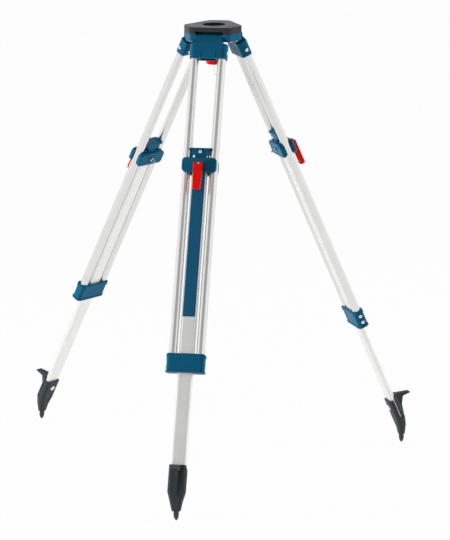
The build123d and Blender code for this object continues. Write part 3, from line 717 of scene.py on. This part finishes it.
def plated(name, colours, roughness, blotch, metallic):
    plain, blotched = (linear(code) for code in colours)
    material, tree, shader, coordinates = new_material(name)
    clouds = use_group(tree, cloud_group, coordinates)
    blotch_share = map_range(tree, clouds["Cloud"], 0.0, 1.0, 0.0, blotch)
    tinted = mixed(tree, "RGBA", blotch_share, plain, blotched)
    tree.links.new(tinted, shader.inputs["Base Color"])
    shader.inputs["Metallic"].default_value = metallic
    shine = map_range(tree, clouds["Scuff"], 0.0, 1.0, *roughness)
    tree.links.new(shine, shader.inputs["Roughness"])
    bump(tree, shader, clouds["Scuff"], SCUFF_BUMP, SCUFF_HEIGHT)
    return material


chrome = plated(
    "chromed_screws", ("E6E8EA", "CBD0D4"), roughness=(0.10, 0.22), blotch=0.25, metallic=1.0,
)
zinc = plated(
    "zinc_plated_steel", ("C3C6C8", "A6A9A6"), roughness=(0.26, 0.40), blotch=0.6, metallic=1.0,
)
blackened = plated(
    "blackened_points", ("34383B", "454A4C"), roughness=(0.40, 0.55), blotch=0.6, metallic=0.6,
)
print("steels:", [m.name for m in (chrome, zinc, blackened)])

# %% [markdown]
# Each CAD node takes its finish by name, and the screws and bolts that were made above follow.

# %% Give every piece its finish
HEAD_FINISH = {
    "head_plate": head_charcoal, "head_body": petrol_blue, "hinge_pins": zinc, "swing_arm": zinc,
    "arm_stud": zinc, "slot_block": zinc, "screw_sleeve": zinc, "knob": signal_red,
    "plumb_hook": chrome, "front_label": label_film,
}
LEG_FINISH = {
    "hinge_bracket": petrol_blue, "collar": petrol_blue, "guide_block": petrol_blue,
    "inner_jaw": petrol_blue, "outer_jaw": petrol_blue, "clamp_nut": chrome,
    "shoe": foot_charcoal, "point": blackened, "lever": signal_red, "lever_pin": chrome,
}


def paint(obj, material):
    obj.data.materials.clear()
    obj.data.materials.append(material)


for name, finish in HEAD_FINISH.items():
    paint(nodes[name], finish)
for leg in LEGS:
    for name, finish in LEG_FINISH.items():
        paint(nodes[f"{leg}_{name}"], finish)
    for name in ("tube_1", "tube_2"):
        paint(nodes[f"{leg}_{name}"], bright_tube[leg])
    paint(nodes[f"{leg}_inner_leg"], satin_leg[leg])
    paint(frame_screws[leg], chrome)
    paint(slider_screws[leg], chrome)
    paint(clamp_bolts[leg], zinc)
paint(plate_screws, zinc)
paint(fixing_screw, zinc)

# %% [markdown]
# The tripod stands on a plain white floor. The floor is seen white by the camera and by reflections, and
# keeps a soft trace of the shadow, because only part of what the camera sees is the plain white.

# %% Floor
FLOOR_SIZE = 120.0
FLOOR_GREY = 0.86
FLOOR_ROUGHNESS = 0.9
FLOOR_WHITE = 0.96

clear_selection()
bpy.ops.mesh.primitive_plane_add(size=FLOOR_SIZE, location=(0, 0, cad_low.z))
floor = bpy.context.object
floor.name = "floor"
floor_material, floor_tree, floor_shader, _ = new_material("pale_floor")
floor_shader.inputs["Base Color"].default_value = (FLOOR_GREY, FLOOR_GREY, FLOOR_GREY, 1.0)
floor_shader.inputs["Roughness"].default_value = FLOOR_ROUGHNESS
floor_shader.inputs["Specular IOR Level"].default_value = 0.0
glow = floor_tree.nodes.new("ShaderNodeEmission")
glow.inputs["Strength"].default_value = 1.0
ray = floor_tree.nodes.new("ShaderNodeLightPath").outputs
mirrored = calculate(floor_tree, "Math", "MAXIMUM", ray["Is Glossy Ray"], ray["Is Transmission Ray"])
seen = calculate(floor_tree, "Math", "MAXIMUM", ray["Is Camera Ray"], mirrored)
white_share = calculate(floor_tree, "Math", "MULTIPLY", seen, FLOOR_WHITE)
blend = floor_tree.nodes.new("ShaderNodeMixShader")
floor_tree.links.new(white_share, blend.inputs[0])
floor_tree.links.new(floor_shader.outputs[0], blend.inputs[1])
floor_tree.links.new(glow.outputs[0], blend.inputs[2])
floor_tree.links.new(blend.outputs[0], floor_tree.nodes["Material Output"].inputs["Surface"])
paint(floor, floor_material)
print("floor at", round(cad_low.z, 4), "m")

# %% [markdown]
# A bright studio room lights the tripod from all round. What gives a metal tube its look is a darker gap
# in that room: the side where the photographer stands is dim, so each tube carries a grey stripe along
# its middle, with white on both flanks. The gap is part of the world and stays where it is. Only the
# reflections see it: the camera sees plain white, and dull surfaces get an even light.

# %% Studio room
ROOM_LIGHT = 0.53
ROOM_WHITE = 1.08
BACKDROP_WHITE = 1.0
GAP_GREY = 0.44
GAP_SIDE = radians(9)
GAP_TOWARD = Vector((sin(GAP_SIDE), -cos(GAP_SIDE), 0))
GAP_INNER = cos(radians(30))
GAP_OUTER = cos(radians(56))

world = bpy.data.worlds.new("studio_room")
bpy.context.scene.world = world
world.use_nodes = True
room = world.node_tree
background = room.nodes["Background"]
direction = room.nodes.new("ShaderNodeTexCoord").outputs["Generated"]
flat = calculate(room, "VectorMath", "MULTIPLY", direction, (1, 1, 0))
unit = room.nodes.new("ShaderNodeVectorMath")
unit.operation = "NORMALIZE"
room.links.new(flat, unit.inputs[0])
facing = calculate(room, "VectorMath", "DOT_PRODUCT", unit.outputs[0], GAP_TOWARD)
gap = map_range(room, facing, GAP_OUTER, GAP_INNER, ROOM_WHITE, GAP_GREY)
paths = room.nodes.new("ShaderNodeLightPath").outputs
shiny = calculate(room, "Math", "MAXIMUM", paths["Is Glossy Ray"], paths["Is Transmission Ray"])
lit = mixed(room, "FLOAT", shiny, ROOM_LIGHT, gap)
level = mixed(room, "FLOAT", paths["Is Camera Ray"], lit, BACKDROP_WHITE)
room.links.new(level, background.inputs["Strength"])
background.inputs["Color"].default_value = (1, 1, 1, 1)
print("room light", ROOM_LIGHT)

# %% [markdown]
# Two soft boxes give the faces some form: a strong one on the left and a weaker one behind on the right.
# Both stand low, so that the inner sides of the leaning legs are the brightest. They are kept out of
# reflections, so that the metal shows the room alone.

# %% Soft boxes
LAMP_AIM = Vector((0, 0, -0.5))
BOX_SIZE = 1.8


def soft_box(name, place, power):
    light = bpy.data.lights.new(name, "AREA")
    light.shape = "SQUARE"
    light.size = BOX_SIZE
    light.energy = power
    lamp = bpy.data.objects.new(name, light)
    bpy.context.scene.collection.objects.link(lamp)
    lamp.location = place
    lamp.visible_glossy = False
    aim = LAMP_AIM - Vector(place)
    lamp.rotation_euler = aim.to_track_quat("-Z", "Y").to_euler()
    return lamp


key = soft_box("key_box", place=(-4.0, -1.7, -0.75), power=330.0)
fill = soft_box("fill_box", place=(4.2, 1.4, -0.7), power=230.0)
print("lamps:", key.name, fill.name)

# %% [markdown]
# The camera stands where the photographer stood: far off with a long lens, a little to the right of the
# front leg, and looking slightly down. The numbers come from matching the tripod's own points.

# %% Camera
CAMERA_SIDE = radians(11.82)
CAMERA_AWAY = 8.103
CAMERA_HEIGHT = 1.1965
CAMERA_PITCH = radians(12.87)
CAMERA_YAW = radians(-0.15)
CAMERA_ROLL = radians(-0.67)
FOCAL_PIXELS = 3145.7
IMAGE_HEIGHT = 540
FAR_CLIP = 300.0

lens = bpy.data.cameras.new("camera")
camera = bpy.data.objects.new("camera", lens)
bpy.context.scene.collection.objects.link(camera)
bpy.context.scene.camera = camera
lens.lens = FOCAL_PIXELS * lens.sensor_width / IMAGE_HEIGHT
lens.clip_end = FAR_CLIP
heading = CAMERA_SIDE + CAMERA_YAW
ahead = Vector((-sin(heading) * cos(CAMERA_PITCH), cos(heading) * cos(CAMERA_PITCH), -sin(CAMERA_PITCH)))
right = Vector((cos(heading), sin(heading), 0))
upward = right.cross(ahead)
level_right = right * cos(CAMERA_ROLL) + upward * sin(CAMERA_ROLL)
level_up = upward * cos(CAMERA_ROLL) - right * sin(CAMERA_ROLL)
camera.matrix_world = Matrix.Translation(
    (sin(CAMERA_SIDE) * CAMERA_AWAY, -cos(CAMERA_SIDE) * CAMERA_AWAY, CAMERA_HEIGHT)
) @ Matrix((level_right, level_up, -ahead)).transposed().to_4x4()
bpy.context.scene.view_settings.view_transform = "Standard"
print("camera lens", round(lens.lens, 1), "mm")
